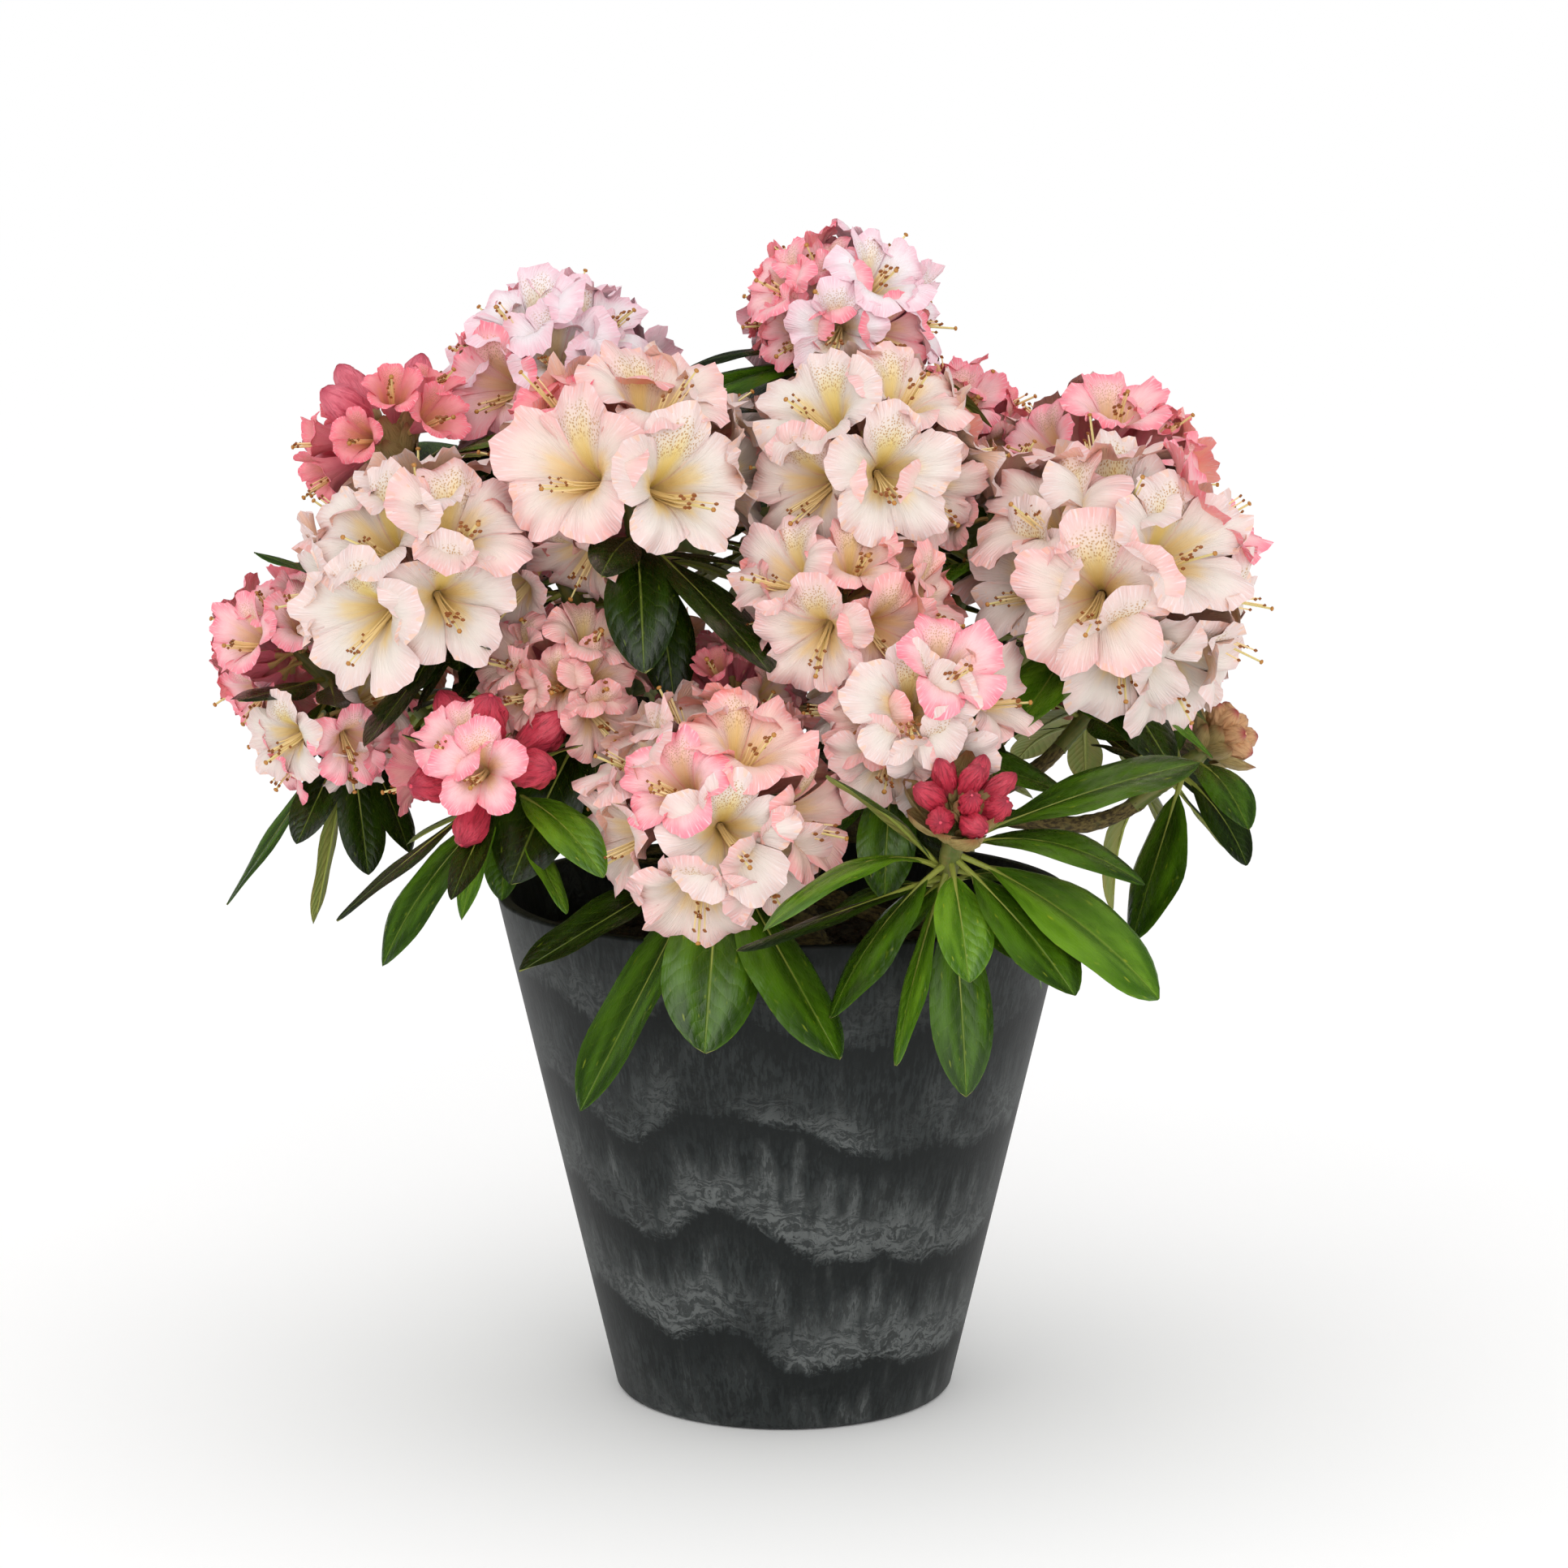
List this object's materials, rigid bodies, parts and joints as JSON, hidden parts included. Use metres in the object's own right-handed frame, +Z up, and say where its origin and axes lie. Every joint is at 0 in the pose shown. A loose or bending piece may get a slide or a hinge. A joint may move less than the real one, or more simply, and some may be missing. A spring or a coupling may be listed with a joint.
{
  "type": "potted rhododendron",
  "caption": "Small flowering rhododendron shrub with short trunk, boughs, flower heads and whorls of leaves, in a tapered round planter that stands on its flat underside.",
  "frame": {"origin": "middle of the planter's flat underside, on the surface it stands on", "axes": "+Z up, -Y towards the side the plant is seen from, +X to that view's right"},
  "size_m": [0.4915, 0.3981, 0.5515],
  "materials": {
    "planter": "matt dark grey stone-and-resin composite with paler brushed marbling",
    "compost": "dark fibrous peat compost, rough",
    "bark": "grey-brown fissured bark, greener on young shoots",
    "blossom_and_leaf": "soft cream to pink petals with dark green leathery leaves"
  },
  "bodies": {
    "root": {"planter": "planter", "compost": "compost", "trunk": "bark", "bough_top": "bark", "bough_left": "bark", "bough_right": "bark", "bough_front": "bark", "bough_back_top": "bark", "bough_top_left": "bark", "bough_upper_right": "bark", "bough_centre_left": "bark", "bough_upper_centre": "bark", "bough_centre": "bark", "bough_far_left": "bark", "bough_low_left": "bark", "bough_inner_left": "bark", "bough_front_right": "bark", "bough_bud_front": "bark", "bough_bud_right": "bark", "bough_upper_left": "bark", "bough_back_left": "bark", "bough_top_behind": "bark", "bough_back_right": "bark", "bough_side_right": "bark", "bough_side_left": "bark", "bough_back_low_left": "bark", "bough_back_low_right": "bark", "bough_low_far_left": "bark", "bough_inner_front": "bark", "bough_inner_right": "bark", "bough_mid_left": "bark", "truss_top": "blossom_and_leaf", "truss_left": "blossom_and_leaf", "truss_right": "blossom_and_leaf", "truss_front": "blossom_and_leaf", "truss_back_top": "blossom_and_leaf", "truss_top_left": "blossom_and_leaf", "truss_upper_right": "blossom_and_leaf", "truss_centre_left": "blossom_and_leaf", "truss_upper_centre": "blossom_and_leaf", "truss_centre": "blossom_and_leaf", "truss_far_left": "blossom_and_leaf", "truss_low_left": "blossom_and_leaf", "truss_inner_left": "blossom_and_leaf", "truss_front_right": "blossom_and_leaf", "truss_bud_front": "blossom_and_leaf", "truss_bud_right": "blossom_and_leaf", "truss_upper_left": "blossom_and_leaf", "truss_back_left": "blossom_and_leaf", "truss_top_behind": "blossom_and_leaf", "truss_back_right": "blossom_and_leaf", "truss_side_right": "blossom_and_leaf", "truss_side_left": "blossom_and_leaf", "truss_back_low_left": "blossom_and_leaf", "truss_back_low_right": "blossom_and_leaf", "truss_low_far_left": "blossom_and_leaf", "truss_inner_front": "blossom_and_leaf", "truss_inner_right": "blossom_and_leaf", "truss_mid_left": "blossom_and_leaf"}
  },
  "joints": []
}
